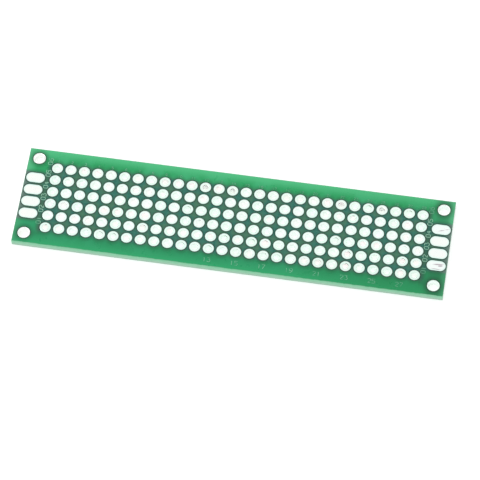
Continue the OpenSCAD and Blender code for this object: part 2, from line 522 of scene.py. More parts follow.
# %% Mask among the pads
FIELD_BORDER = 0.45 * MM
FIELD_HALF_WIDTH = first_hole.y + 0.9 * pad_radius
FIELD_DRIFT = (0.4, 0.6)
FIELD_TEAL, FIELD_OLIVE = "#2e7c6b", "#467f63"
NUMBER_BAND = 0.5 * MM
NUMBER_BAND_REACH = first_hole.y + 0.7 * pitch
NUMBER_BAND_SIDE = (-0.3 * MM, 0.1 * MM)
NUMBER_BAND_SHARES = (0.2, 0.32)
UNDER_NUMBERS = "#12402f"


def between_long_pads(tree, away):
    return within(tree, away, sheet_high.x + pitch, 2 * pitch, FIELD_BORDER)


def among_pads(tree, away):
    grid = within(tree, away, row_number_x, FIELD_HALF_WIDTH, FIELD_BORDER)
    return add(tree, MATH, [grid, between_long_pads(tree, away)], operation="MAXIMUM")


def under_numbers(tree, here, away):
    band = within(tree, away, row_number_x + NUMBER_BAND, NUMBER_BAND_REACH, FIELD_BORDER)
    inside = add(tree, MATH, [away[0], row_number_x - NUMBER_BAND], operation="SUBTRACT")
    side = add(tree, MAP_RANGE, [inside, *NUMBER_BAND_SIDE], **SMOOTH)
    x = add(tree, SEPARATE, [here]).outputs["X"]
    share = add(tree, MAP_RANGE, [x, -MM, MM, *NUMBER_BAND_SHARES], **SMOOTH)
    band = add(tree, MATH, [band, side], operation="MULTIPLY")
    return add(tree, MATH, [band, share], operation="MULTIPLY")


print("bands under the row numbers:", round(2 * NUMBER_BAND / MM, 2), "mm wide")

# %% [markdown]
# Each pad is ringed by painted shade, dark close by and fainter further out. At the two ends the mask is
# rubbed grey towards the cut, and the cut itself is chipped to a pale line, broken here and there. The
# surface is half glossy, slightly wavy, and the weave of the glass under it hardly shows.

# %% Green solder mask
THREAD_SPACING = 0.52 * MM
CLOUD_GRAIN, CHIP_GRAIN, RELIEF_GRAIN = 2 * MM, 0.8 * MM, 1.2 * MM
RELIEF_DEPTH = 0.008 * MM
SHADE_NEAR_METAL = "#0f3525"
DARK_RING_WIDTH, DARK_RING_SHARE = 0.23 * MM, 0.85
SHADE_WIDTH, SHADE_SHARE = 1.1 * MM, 0.46
RUBBED = "#738f84"
RUBBED_WIDTH, RUBBED_SHARE = 1.6 * MM, 1.15
RUBBED_CORNERS = 0.14
RIM = "#84b79b"
RIM_WIDTH = 0.12 * MM
CHIPS = (0.4, 0.55, 0.25, 1.0)
FULL_AT = 0.3
WEAVE_SHADE = (0.4, 1.6, 0.99, 1.01)
WEAVE_RELIEF = 0.15
MASK_ROUGHNESS = (0.3, 0.7, 0.26, 0.38)


def rubbed_at_ends(tree, away, from_end):
    rubbed = add(tree, MAP_RANGE, [from_end, RUBBED_WIDTH, 0.0, 0.0, RUBBED_SHARE], **SMOOTH)
    share = add(tree, MAP_RANGE, [between_long_pads(tree, away), 0, 1, RUBBED_CORNERS, 1.0], **SMOOTH)
    return add(tree, MATH, [rubbed, share], operation="MULTIPLY")


def chipped_at_cut(tree, here, cut):
    chips = add(tree, NOISE, {"Vector": here, "Scale": 1 / CHIP_GRAIN, "Detail": 3.0}).outputs["Fac"]
    chips = add(tree, MAP_RANGE, [chips, *CHIPS], **SMOOTH)
    rim = add(tree, MAP_RANGE, [cut, RIM_WIDTH, RIM_WIDTH * FULL_AT], **SMOOTH)
    return add(tree, MATH, [rim, chips], operation="MULTIPLY")


def mask_colour(tree, here, cloud):
    away = from_middle_lines(tree, here)
    metal = distance_to_metal(tree, here, away)
    cut = distance_to_cut(tree, away)
    from_end = add(tree, MATH, [sheet_high.x, away[0]], operation="SUBTRACT")
    drift = add(tree, MAP_RANGE, [cloud, *FIELD_DRIFT], **SMOOTH)
    field = add(tree, MIX, [drift, FIELD_TEAL, FIELD_OLIVE], **COLOURS)
    # Painted shade near metal: a wide faint one and a narrow dark ring about each pad.
    shade = add(tree, MAP_RANGE, [metal, SHADE_WIDTH, 0.0, 0.0, SHADE_SHARE], **SMOOTH)
    dark_ring = add(tree, MAP_RANGE, [metal, DARK_RING_WIDTH, DARK_RING_WIDTH * FULL_AT, 0.0, DARK_RING_SHARE], **SMOOTH)
    clear = open_mask(tree, here, cut, from_end)
    colour = add(tree, MIX, [among_pads(tree, away), clear, field], **COLOURS)
    for share, other in (
            (under_numbers(tree, here, away), UNDER_NUMBERS),
            (rubbed_at_ends(tree, away, from_end), RUBBED),
            (shade, SHADE_NEAR_METAL),
            (dark_ring, SHADE_NEAR_METAL),
            (chipped_at_cut(tree, here, cut), RIM)):
        colour = add(tree, MIX, [share, colour, other], **COLOURS)
    return colour


def mask_finish():
    material, tree, surface = new_material("solder mask, green photoimageable epoxy")
    here = add(tree, "ShaderNodeTexCoord").outputs["Object"]
    cloud = add(tree, NOISE, {"Vector": here, "Scale": 1 / CLOUD_GRAIN, "Detail": 3.0}).outputs["Fac"]
    thread = {"Vector": here, "Scale": WAVE_PERIOD / THREAD_SPACING, "Distortion": 0.6, "Detail Scale": 0.3}
    threads = [add(tree, "ShaderNodeTexWave", thread, bands_direction=axis).outputs["Fac"] for axis in "XY"]
    weave = add(tree, MATH, threads, operation="ADD")
    shade = add(tree, MAP_RANGE, [weave, *WEAVE_SHADE], **SMOOTH)
    colour = mask_colour(tree, here, cloud)
    colour = add(tree, "ShaderNodeVectorMath", [colour, shade], operation="MULTIPLY")
    connect(tree, colour, surface.inputs["Base Color"])
    surface.inputs["IOR"].default_value = 1.4
    roughness = add(tree, MAP_RANGE, [cloud, *MASK_ROUGHNESS], **SMOOTH)
    connect(tree, roughness, surface.inputs["Roughness"])
    waves = add(tree, NOISE, {"Vector": here, "Scale": 1 / RELIEF_GRAIN, "Detail": 1.0}).outputs["Fac"]
    relief = add(tree, MATH, [weave, WEAVE_RELIEF, waves], operation="MULTIPLY_ADD")
    bump = add(tree, "ShaderNodeBump", {"Height": relief, "Strength": 0.25, "Distance": RELIEF_DEPTH})
    connect(tree, bump, surface.inputs["Normal"])
    return material


solder_mask = mask_finish()
print(solder_mask.name)

# %% [markdown]
# The tin of real pads is marked. A thin grey arc on the far lip of a hole is a painted reflection, put on
# more pads in the front rows, and flux has dulled the bores of four columns in the back row. Two of the long
# pads are scuffed. Each function below gives one of these as a value from 0 to 1, broken up by noise. The
# pads carry two attributes for this: how far a point is from the wall of its bore, and one random number per
# pad.

# %% Marks on the tin
ARC_WIDTH, ARC_FULL_WIDTH = 0.13 * MM, 0.091 * MM
ARC_DIRECTION = (0.5, 0.85)
ARC_SHARE_BACK, ARC_SHARE_FRONT = 0.06, 0.5
ARC_GRAIN = 0.9 * MM
ARC_ENDS = (0.5, 0.95)
ARC_PATCHES = (0.36, 0.62, 0.1, 0.85)
LIP_START = 0.02 * MM
DULL_COLUMNS = (12, 14, 22, 25)
DULL_RADIUS = 1.1 * bore_radius
BLOTCH_GRAIN = 0.42 * MM
BLOTCHES = (0.42, 0.62, 0.0, 0.75)
SCUFF_GRAIN = 0.3 * MM
SCUFF_STRETCH = (0.25, 1.0, 1.0)
SCUFF_BREAKS = (0.28, 0.5)
SCUFF_FADE = (1.0, 0.35)
# The row of the long pad, then the place along and across it, the angle in degrees, the length and the
# width of the scuff, in mm
SCUFFS = (
    (2, 0.5, -0.08, 19, 2.9, 0.26),
    (5, 0.35, 0.28, 6, 2.6, 0.4),
    (5, 0.75, 0.0, 12, 1.2, 0.5),
    (5, 0.1, -0.72, -2, 2.6, 0.22))


# Painted reflection: a grey arc on the far lip of a pad's bore.
def arcs_of_flux(tree, here, seed, from_bore):
    x, y = from_nearest_hole(tree, here)
    reach = flat_distance(tree, x, y)
    aside = add(tree, MATH, [x, ARC_DIRECTION[0]], operation="MULTIPLY")
    towards = add(tree, MATH, [y, ARC_DIRECTION[1], aside], operation="MULTIPLY_ADD")
    towards = add(tree, MATH, [towards, reach], operation="DIVIDE")
    board_y = add(tree, SEPARATE, [here]).outputs["Y"]
    share = add(tree, MAP_RANGE, [board_y, row_y(3), row_y(ROWS), ARC_SHARE_BACK, ARC_SHARE_FRONT], **SMOOTH)
    chance = add(tree, MATH, [seed, share], operation="ADD")
    patchy = add(tree, NOISE, {"Vector": here, "Scale": 1 / ARC_GRAIN, "Detail": 2.0}).outputs["Fac"]
    arc = add(tree, MAP_RANGE, [towards, *ARC_ENDS], **SMOOTH)
    for limit in (
            add(tree, MAP_RANGE, [from_bore, 0.0, LIP_START], **SMOOTH),
            add(tree, MAP_RANGE, [from_bore, ARC_WIDTH, ARC_FULL_WIDTH], **SMOOTH),
            add(tree, MATH, [reach, pad_radius], operation="LESS_THAN"),
            add(tree, MATH, [chance, 1.0], operation="GREATER_THAN"),
            add(tree, MAP_RANGE, [patchy, *ARC_PATCHES], **SMOOTH)):
        arc = add(tree, MATH, [arc, limit], operation="MULTIPLY")
    return arc


def dull_bores(tree, here, in_bore):
    axes = add(tree, SEPARATE, [here]).outputs
    y = add(tree, MATH, [axes["Y"], row_y(1)], operation="SUBTRACT")
    dull = 0.0
    for column in DULL_COLUMNS:
        x = add(tree, MATH, [axes["X"], hole_x(column)], operation="SUBTRACT")
        inside = add(tree, MATH, [flat_distance(tree, x, y), DULL_RADIUS], operation="LESS_THAN")
        dull = add(tree, MATH, [dull, inside], operation="MAXIMUM")
    dull = add(tree, MATH, [dull, in_bore], operation="MULTIPLY")
    blotches = add(tree, NOISE, {"Vector": here, "Scale": 1 / BLOTCH_GRAIN, "Detail": 1.0}).outputs["Fac"]
    blotches = add(tree, MAP_RANGE, [blotches, *BLOTCHES], **SMOOTH)
    return add(tree, MATH, [dull, blotches], operation="MULTIPLY")


def scuff(tree, here, centre, angle, length, width):
    """1 in the middle of a long soft-edged patch that lies at an angle, and 0 outside it."""
    moved = add(tree, "ShaderNodeVectorMath", [here, centre], operation="SUBTRACT")
    turned = add(tree, "ShaderNodeVectorRotate", {"Vector": moved, "Angle": -angle}, rotation_type="Z_AXIS")
    size = (2 / length, 2 / width, 0)
    scaled = add(tree, "ShaderNodeVectorMath", [turned, size], operation="MULTIPLY")
    reach = add(tree, "ShaderNodeVectorMath", [scaled], operation="LENGTH")
    return add(tree, MAP_RANGE, [reach, *SCUFF_FADE], **SMOOTH)


def scuffs_on_long_pads(tree, here):
    """On the upper face, one thin streak on the second row's pad and three short ones on the fifth's."""
    worn = 0.0
    for row, along, across, angle, length, width in SCUFFS:
        centre = (long_pad_x + along * MM, row_y(row) + across * MM, 0)
        mark = scuff(tree, here, centre, math.radians(angle), length * MM, width * MM)
        worn = add(tree, MATH, [worn, mark], operation="MAXIMUM")
    drawn_out = add(tree, "ShaderNodeMapping", {"Vector": here, "Scale": SCUFF_STRETCH})
    broken = add(tree, NOISE, {"Vector": drawn_out, "Scale": 1 / SCUFF_GRAIN, "Detail": 4.0}).outputs["Fac"]
    broken = add(tree, MAP_RANGE, [broken, *SCUFF_BREAKS], **SMOOTH)
    worn = add(tree, MATH, [worn, broken], operation="MULTIPLY")
    height = add(tree, SEPARATE, [here]).outputs["Z"]
    upper = add(tree, MATH, [height, middle_height], operation="GREATER_THAN")
    return add(tree, MATH, [worn, upper], operation="MULTIPLY")


print("share of pads with an arc, back and front:", ARC_SHARE_BACK, ARC_SHARE_FRONT)

# %% [markdown]
# The pads are copper with a coat of tin, dipped in molten tin and levelled with hot air. Bright tin is a
# pale metal, mirror-like but never quite even, so its gloss varies over a fraction of a millimetre. Each
# pad has its own shade from mint to near white, taken from its random number. The back row is creamier, the
# right half of the front row is duller, and each pad is painted greener towards its rim, as a reflection of
# the mask that it falls towards. Some bores are a little pink, and the long pads are paler. The metal keeps
# the shader's usual IOR.

# %% Shades of the tin
MINT_TIN, PALE_TIN = "#e9fdf3", "#f7fdfa"
CREAM_TIN, CREAM_SHARE = "#f4fbef", 0.35
DULL_FRONT_TIN, DULL_FRONT_SHARE = "#dff3e8", 0.4
DULL_TO_THE_RIGHT = (-2 * MM, 10 * MM)
MASK_REFLECTION_TIN = "#e3fcf3"
RIM_START = 0.15 * MM
GREEN_BORE, PINK_BORE = "#f2faf8", "#fbf4f7"
LONG_PAD_TIN = ("#f6fefb", "#fbfdf8")
LONG_PAD_RIM = (-0.4 * MM, -0.05 * MM)


def other_number(tree, seed, factor):
    """Another random number from 0 to 1, made of a pad's own one."""
    larger = add(tree, MATH, [seed, factor], operation="MULTIPLY")
    return add(tree, MATH, [larger], operation="FRACT")


def round_pad_tin(tree, here, paler, from_bore):
    axes = add(tree, SEPARATE, [here]).outputs
    first_row = add(tree, MAP_RANGE, [axes["Y"], row_y(2), row_y(1), 0.0, CREAM_SHARE], **SMOOTH)
    last_row = add(tree, MAP_RANGE, [axes["Y"], row_y(5), row_y(6), 0.0, DULL_FRONT_SHARE], **SMOOTH)
    to_right = add(tree, MAP_RANGE, [axes["X"], *DULL_TO_THE_RIGHT], **SMOOTH)
    # Painted reflection of the green mask on the rim of the tin.
    rim = add(tree, MAP_RANGE, [from_bore, RIM_START, pad_radius - bore_radius], **SMOOTH)
    duller = add(tree, MATH, [last_row, to_right], operation="MULTIPLY")
    colour = add(tree, MIX, [paler, MINT_TIN, PALE_TIN], **COLOURS)
    for share, other in ((first_row, CREAM_TIN), (rim, MASK_REFLECTION_TIN), (duller, DULL_FRONT_TIN)):
        colour = add(tree, MIX, [share, colour, other], **COLOURS)
    return colour


def long_pad_tin(tree, here, paler):
    to_rim = distance_to_long_pad(tree, here, from_middle_lines(tree, here))
    # Painted reflection of the green mask on the rim of the long pad.
    rim = add(tree, MAP_RANGE, [to_rim, *LONG_PAD_RIM], **SMOOTH)
    colour = add(tree, MIX, [paler, *LONG_PAD_TIN], **COLOURS)
    return add(tree, MIX, [rim, colour, MASK_REFLECTION_TIN], **COLOURS)


print("tin from", MINT_TIN, "to", PALE_TIN)

# %% [markdown]
# The finish puts the shades together, lays the marks and the painted lip reflections over them and makes
# the tin less glossy where they lie. A long pad has no bore, so its stored distance is larger than any round
# pad's, which tells it apart.

# %% Bright tin, levelled with hot air
DRIFT_GRAIN, GLOSS_GRAIN = 1.4 * MM, 0.7 * MM
WAVE_DEPTH = 0.012 * MM
BORE_BORDER = 0.03 * MM
SHADE_FACTOR, BORE_FACTOR = 7.3, 23.7
PALER, PINKER = (0.5, 1.5), (0.4, 1.0)
LIP_REFLECTION_GREY, DULL_TIN, WORN_TIN = "#6f7776", "#b0a1ad", "#b8aeb4"
TIN_ROUGHNESS = (0.3, 0.7, 0.14, 0.24)
ROUGHER_MARKS = 0.25


def tin_finish():
    material, tree, surface = new_material("bright tin, hot-air levelled")
    here = add(tree, "ShaderNodeTexCoord").outputs["Object"]
    seed = add(tree, "ShaderNodeAttribute", attribute_name="pad_seed").outputs["Fac"]
    from_bore = add(tree, "ShaderNodeAttribute", attribute_name="from_bore").outputs["Fac"]
    drift = add(tree, NOISE, {"Vector": here, "Scale": 1 / DRIFT_GRAIN, "Detail": 2.0}).outputs["Fac"]
    paler = add(tree, MATH, [other_number(tree, seed, SHADE_FACTOR), drift], operation="ADD")
    paler = add(tree, MAP_RANGE, [paler, *PALER], **SMOOTH)
    pinker = add(tree, MAP_RANGE, [other_number(tree, seed, BORE_FACTOR), *PINKER], **SMOOTH)
    in_bore = add(tree, MAP_RANGE, [from_bore, BORE_BORDER, 0.0], **SMOOTH)
    on_long_pad = add(tree, MATH, [from_bore, pad_radius], operation="GREATER_THAN")
    # Painted reflection: grey arcs on the far lips of the bores.
    lip_reflection = arcs_of_flux(tree, here, seed, from_bore)
    worn = scuffs_on_long_pads(tree, here)
    colour = round_pad_tin(tree, here, paler, from_bore)
    for share, other in (
            (in_bore, add(tree, MIX, [pinker, GREEN_BORE, PINK_BORE], **COLOURS)),
            (on_long_pad, long_pad_tin(tree, here, paler)),
            (lip_reflection, LIP_REFLECTION_GREY),
            (dull_bores(tree, here, in_bore), DULL_TIN),
            (worn, WORN_TIN)):
        colour = add(tree, MIX, [share, colour, other], **COLOURS)
    connect(tree, colour, surface.inputs["Base Color"])
    surface.inputs["Metallic"].default_value = 1.0
    uneven = add(tree, NOISE, {"Vector": here, "Scale": 1 / GLOSS_GRAIN, "Detail": 3.0}).outputs["Fac"]
    uneven = add(tree, MAP_RANGE, [uneven, *TIN_ROUGHNESS], **SMOOTH)
    marked_or_reflecting = add(tree, MATH, [lip_reflection, worn], operation="MAXIMUM")
    roughness = add(tree, MATH, [marked_or_reflecting, ROUGHER_MARKS, uneven], operation="MULTIPLY_ADD")
    connect(tree, roughness, surface.inputs["Roughness"])
    bump = add(tree, "ShaderNodeBump", {"Height": drift, "Strength": 0.25, "Distance": WAVE_DEPTH})
    connect(tree, bump, surface.inputs["Normal"])
    return material


tin = tin_finish()
print(tin.name)

# %% [markdown]
# The numbers are printed with pale epoxy ink, so thin that the green shows through where the mask is
# uneven. It is whole at both ends, over the first four columns and in the middle of the front, and worn
# elsewhere. Real ink has no see-through edge at this scale, so the green is mixed into its colour by noise.

# %% Legend ink
INK_FADED, INK_WHOLE, INK_AT_ENDS, INK_WORN = "#55a57e", "#86c5a4", "#b4e3cb", "#3f8d68"
INK_GRAIN = 0.65 * MM
INK_PATCHES = (0.36, 0.62)
WORN_BEHIND = (-26 * MM, -20 * MM, 0.0, 0.4)
WORN_IN_FRONT = (18 * MM, 34 * MM, 0.0, 0.45)
PAST_COLUMNS = (34.8 * MM, 35.2 * MM)
PAST_INNER_ROWS = (1.9 * pitch, 2.1 * pitch, 0.5, 0.0)


def worn_ink(tree, axes):
    behind = add(tree, MAP_RANGE, [axes["X"], *WORN_BEHIND], **SMOOTH)
    in_front = add(tree, MAP_RANGE, [axes["X"], *WORN_IN_FRONT], **SMOOTH)
    back_half = add(tree, MAP_RANGE, [axes["Y"], -MM, MM], **SMOOTH)
    behind = add(tree, MATH, [back_half, behind], operation="MULTIPLY")
    return add(tree, MATH, [behind, in_front], operation="MAXIMUM")


def ink_at_ends(tree, axes):
    """The row numbers' ink, bolder at the inner rows. They stand half a pitch behind the rows."""
    along = add(tree, MATH, [axes["X"]], operation="ABSOLUTE")
    along = add(tree, MAP_RANGE, [along, *PAST_COLUMNS], **SMOOTH)
    across = add(tree, MATH, [axes["Y"], pitch / 2], operation="SUBTRACT")
    across = add(tree, MATH, [across], operation="ABSOLUTE")
    across = add(tree, MAP_RANGE, [across, *PAST_INNER_ROWS], **SMOOTH)
    return add(tree, MATH, [along, across], operation="MULTIPLY")


def ink_finish():
    material, tree, surface = new_material("legend ink, thin epoxy")
    here = add(tree, "ShaderNodeTexCoord").outputs["Object"]
    axes = add(tree, SEPARATE, [here]).outputs
    patchy = add(tree, NOISE, {"Vector": here, "Scale": 1 / INK_GRAIN, "Detail": 3.0}).outputs["Fac"]
    patchy = add(tree, MAP_RANGE, [patchy, *INK_PATCHES], **SMOOTH)
    colour = add(tree, MIX, [patchy, INK_FADED, INK_WHOLE], **COLOURS)
    colour = add(tree, MIX, [worn_ink(tree, axes), colour, INK_WORN], **COLOURS)
    colour = add(tree, MIX, [ink_at_ends(tree, axes), colour, INK_AT_ENDS], **COLOURS)
    connect(tree, colour, surface.inputs["Base Color"])
    surface.inputs["Roughness"].default_value = 0.55
    surface.inputs["IOR"].default_value = 1.5
    return material


ink = ink_finish()
print(ink.name)

# %% [markdown]
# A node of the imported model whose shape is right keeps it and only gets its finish: the sheet and both
# coats of mask. Their objects already hold a material slot, which is filled here.

# %% Finish the pieces that stay
def finish_node(name, material):
    slots = frame["nodes"][name].data.materials
    slots.clear()
    slots.append(material)


finish_node("substrate", laminate)
for name in ("solder_mask_top", "solder_mask_bottom"):
    finish_node(name, solder_mask)
print("nodes that stay: 3")

# %% [markdown]
# An eyelet is one piece of metal: a pad on each face and the barrel between them. Turning a drawn section
# round the hole gives it, and the same shape is wanted 168 times, so Geometry Nodes make both. The section
# is drawn from the wall of the bore outwards, as (distance, height above the middle of the board). A long
# pad has the same crowned tin, with no hole, so half of its section starts at its middle line.

# %% Sections of the tin
HALF_SHEET = (sheet_high.z - sheet_low.z) / 2
TIN_THICKNESS = tin_top - sheet_high.z
BARREL_WALL = 0.05 * MM
LIP = 0.08 * MM
CROWN_FALL = 0.025 * MM
LIP_STEPS = 2
CROWN_STEPS = 3


def crown(crest, rim, top):
    """Level to the crest and then falling ever more steeply to the rim."""
    shares = [i / CROWN_STEPS for i in range(CROWN_STEPS + 1)]
    return [(crest + (rim - crest) * share, top - CROWN_FALL * share * share) for share in shares]


def eyelet_section(bore, rim):
    width = rim - bore
    angles = [math.radians(90 * i / LIP_STEPS) for i in range(LIP_STEPS + 1)]
    lip = [(LIP * (1 - math.cos(a)), middle_height - LIP * (1 - math.sin(a))) for a in angles]
    seat = [(width, HALF_SHEET), (BARREL_WALL, HALF_SHEET)]
    upper = lip + crown((LIP + width) / 2, width, middle_height) + seat
    return upper + [(x, -z) for x, z in reversed(upper)]


def long_pad_section():
    rim = long_pad_width / 2
    return [(0, TIN_THICKNESS)] + crown(rim / 2, rim, TIN_THICKNESS) + [(rim, 0), (0, 0)]


print("points in the sections:", len(eyelet_section(bore_radius, pad_radius)), len(long_pad_section()))

# %% [markdown]
# Both kinds of pad go through the same steps, so these are functions that add nodes to a tree: sweep
# a drawn section round a circle, give each copy its own random number, lower the tin unevenly by noise, as
# hot air leaves it, and shade it smooth while edges sharper than a crease stay sharp. A tree ends in
# Realize Instances and Set Material, because an export drops instances.

# %% Parts of a Geometry Nodes tree
CREASE = math.radians(50)
TIN_GRAIN = 0.77 * MM


def new_tree(name, sizes):
    tree = bpy.data.node_groups.new(name, "GeometryNodeTree")
    tree.interface.new_socket("Geometry", in_out="INPUT", socket_type="NodeSocketGeometry")
    tree.interface.new_socket("Geometry", in_out="OUTPUT", socket_type="NodeSocketGeometry")
    for label, kind in sizes.items():
        tree.interface.new_socket(label, in_out="INPUT", socket_type="NodeSocket" + kind)
    return tree, tree.nodes.new("NodeGroupInput").outputs, tree.nodes.new("NodeGroupOutput").inputs


def swept(tree, drawing, radius, segments):
    """The drawn section, swept round a circle of this radius."""
    section = add(tree, "GeometryNodeMeshToCurve", [drawing])
    ring = add(tree, "GeometryNodeCurvePrimitiveCircle", [segments, radius])
    return add(tree, "GeometryNodeCurveToMesh", [ring, section])


def realized(tree, instances, seed):
    chance = add(tree, "FunctionNodeRandomValue", {"Seed": seed}, data_type="FLOAT")
    numbered = add(
        tree, "GeometryNodeStoreNamedAttribute",
        {"Geometry": instances, "Name": "pad_seed", "Value": chance}, data_type="FLOAT", domain="INSTANCE")
    return add(tree, "GeometryNodeRealizeInstances", [numbered])


def lowered_tin(tree, geometry, top, unevenness):
    """Points within the crown's fall of the top height, above or below, sink by noise."""
    spot = add(tree, "GeometryNodeInputPosition")
    height = add(tree, SEPARATE, [spot]).outputs["Z"]
    depth = add(tree, MATH, [height], operation="ABSOLUTE")
    crown_foot = add(tree, MATH, [top, CROWN_FALL], operation="SUBTRACT")
    drop = add(tree, NOISE, {"Vector": spot, "Scale": 1 / TIN_GRAIN, "Detail": 1.0}).outputs["Fac"]
    inwards = add(tree, MATH, [height], operation="SIGN")
    for factor in (add(tree, MAP_RANGE, [depth, crown_foot, top]), unevenness, -1.0, inwards):
        drop = add(tree, MATH, [drop, factor], operation="MULTIPLY")
    offset = add(tree, COMBINE, {"Z": drop})
    return add(tree, "GeometryNodeSetPosition", {"Geometry": geometry, "Offset": offset})


def finished(tree, geometry, material):
    angle = add(tree, "GeometryNodeInputMeshEdgeAngle")
    soft = add(tree, "FunctionNodeCompare", [angle, CREASE], operation="LESS_THAN")
    for domain, shaded in (("FACE", True), ("EDGE", soft)):
        inputs = {"Geometry": geometry, "Shade Smooth": shaded}
        geometry = add(tree, "GeometryNodeSetShadeSmooth", inputs, domain=domain)
    return add(tree, "GeometryNodeSetMaterial", {"Geometry": geometry, "Material": material})


print("crease at", round(math.degrees(CREASE)), "degrees")

# %% [markdown]
# The eyelets take three steps of their own: sweep the section round the bore, store how far each point is
# from the wall of the bore, and put a copy at each point of a grid.

# %% Geometry Nodes tree for eyelets
def eyelet_tree():
    tree, given, result = new_tree("eyelets on a grid", {
        "Bore Radius": "Float", "Segments": "Int", "Columns": "Int", "Rows": "Int",
        "Span Along": "Float", "Span Across": "Float",
        "Top": "Float", "Unevenness": "Float", "Seed": "Int", "Tin": "Material"})
    eyelet = swept(tree, given["Geometry"], given["Bore Radius"], given["Segments"])
    axes = add(tree, SEPARATE, [add(tree, "GeometryNodeInputPosition")]).outputs
    reach = flat_distance(tree, axes["X"], axes["Y"])
    from_bore = add(tree, MATH, [reach, given["Bore Radius"]], operation="SUBTRACT")
    eyelet = add(
        tree, "GeometryNodeStoreNamedAttribute",
        {"Geometry": eyelet, "Name": "from_bore", "Value": from_bore}, data_type="FLOAT", domain="POINT")
    sizes = [given["Span Along"], given["Span Across"], given["Columns"], given["Rows"]]
    points = add(tree, "GeometryNodeMeshGrid", sizes)
    placed = add(tree, "GeometryNodeInstanceOnPoints", {"Points": points, "Instance": eyelet})
    tin_wave = lowered_tin(tree, realized(tree, placed, given["Seed"]), given["Top"], given["Unevenness"])
    connect(tree, finished(tree, tin_wave, given["Tin"]), result[0])
    return tree


eyelets_on_a_grid = eyelet_tree()
print("nodes in the tree:", len(eyelets_on_a_grid.nodes))

# %% [markdown]
# A long pad is a round one cut in two and drawn apart. Half of its section, swept round a hair-thin circle,
# is a round pad. Every point then moves to its own side by half of the straight stretch, the faces across
# the cut grow into the straight part, and Merge by Distance closes the middle line. The number of segments
# leaves no point on the cut itself. The lower pads are the same copies turned over.

# %% Geometry Nodes tree for long pads
HAIR = 0.001 * MM
PAD_SEGMENTS = 26


def long_pad_shape(tree, drawing, straight):
    half = swept(tree, drawing, HAIR, PAD_SEGMENTS)
    spot = add(tree, "GeometryNodeInputPosition")
    side = add(tree, MATH, [add(tree, SEPARATE, [spot]).outputs["X"]], operation="SIGN")
    half_straight = add(tree, MATH, [straight, 0.5], operation="MULTIPLY")
    shift = add(tree, COMBINE, [add(tree, MATH, [side, half_straight], operation="MULTIPLY")])
    drawn = add(tree, "GeometryNodeSetPosition", {"Geometry": half, "Offset": shift})
    closed = add(tree, "GeometryNodeMergeByDistance", {"Geometry": drawn, "Distance": 5 * HAIR})
    return add(
        tree, "GeometryNodeStoreNamedAttribute",
        {"Geometry": closed, "Name": "from_bore", "Value": pitch}, data_type="FLOAT", domain="POINT")


def long_pad_tree():
    tree, given, result = new_tree("long pads on both faces", {
        "Straight": "Float", "Span Along": "Float", "Span Across": "Float", "Rows": "Int", "Sheet": "Float",
        "Top": "Float", "Unevenness": "Float", "Seed": "Int", "Tin": "Material"})
    pad = long_pad_shape(tree, given["Geometry"], given["Straight"])
    points = add(tree, "GeometryNodeMeshGrid", [given["Span Along"], given["Span Across"], 2, given["Rows"]])
    both = add(tree, "GeometryNodeJoinGeometry")
    for sign, turn in ((1, 0.0), (-1, math.pi)):
        height = add(tree, MATH, [given["Sheet"], sign], operation="MULTIPLY")
        place = add(tree, COMBINE, {"Z": height})
        face = add(tree, "GeometryNodeTransform", {"Geometry": points, "Translation": place})
        inputs = {"Points": face, "Instance": pad, "Rotation": (turn, 0, 0)}
        connect(tree, add(tree, "GeometryNodeInstanceOnPoints", inputs), both.inputs[0])
    tin_wave = lowered_tin(tree, realized(tree, both, given["Seed"]), given["Top"], given["Unevenness"])
    connect(tree, finished(tree, tin_wave, given["Tin"]), result[0])
    return tree


long_pads_on_both_faces = long_pad_tree()
print("nodes in the tree:", len(long_pads_on_both_faces.nodes))

# %% [markdown]
# A drawn wire is given the modifier, whose inputs are set by the identifiers of their sockets, and its
# evaluated result becomes a plain mesh. It is made about the middle of the board's thickness and then
# lifted to its place.

# %% Turn a drawn wire into a finished piece
def set_input(modifier, label, value):
    for item in modifier.node_group.interface.items_tree:
        if item.name == label and item.in_out == "INPUT":
            modifier[item.identifier] = value


def grown(name, points, edges, tree, inputs, lift):
    wire = bpy.data.meshes.new(name)
    wire.from_pydata(points, edges, [])
    draft = bpy.data.objects.new(name + "_draft", wire)
    bpy.context.scene.collection.objects.link(draft)
    modifier = draft.modifiers.new(tree.name, "NODES")
    modifier.node_group = tree
    for label, value in inputs.items():
        set_input(modifier, label, value)
    graph = bpy.context.evaluated_depsgraph_get()
    mesh = bpy.data.meshes.new_from_object(draft.evaluated_get(graph))
    bpy.data.objects.remove(draft)
    mesh.transform(Matrix.Translation((0, 0, lift)))
    piece = bpy.data.objects.new(name, mesh)
    bpy.context.scene.collection.objects.link(piece)
    print(name, "faces", len(mesh.polygons), "height in mm", round(piece.dimensions.z / MM, 3))
    return piece


def drawn_section(section, closed):
    """A section as points and edges. Curve to Mesh turns its Y downwards, so heights change sign."""
    points = [(x, -z, 0) for x, z in section]
    edges = [(i, i + 1) for i in range(len(points) - 1)]
    return points, edges + [(len(points) - 1, 0)] if closed else edges


# %% [markdown]
# The pin holes are one piece of 168 eyelets, the corner holes one of four, and the long pads one of
# sixteen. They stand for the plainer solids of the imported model, which are hidden.

# %% Pin holes, corner holes and long pads
EYELET_SEGMENTS = 24
UNEVENNESS = 0.012 * MM


def make_eyelets(name, bore, rim, columns, rows, span_along, span_across, seed):
    return grown(name, *drawn_section(eyelet_section(bore, rim), closed=True), eyelets_on_a_grid, {
        "Bore Radius": bore, "Columns": columns, "Rows": rows, "Span Along": span_along,
        "Span Across": span_across, "Segments": EYELET_SEGMENTS, "Top": middle_height,
        "Unevenness": UNEVENNESS, "Seed": seed, "Tin": tin}, lift=middle_height)


def stand_for(piece, nodes):
    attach(piece, "root")
    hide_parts(*nodes)


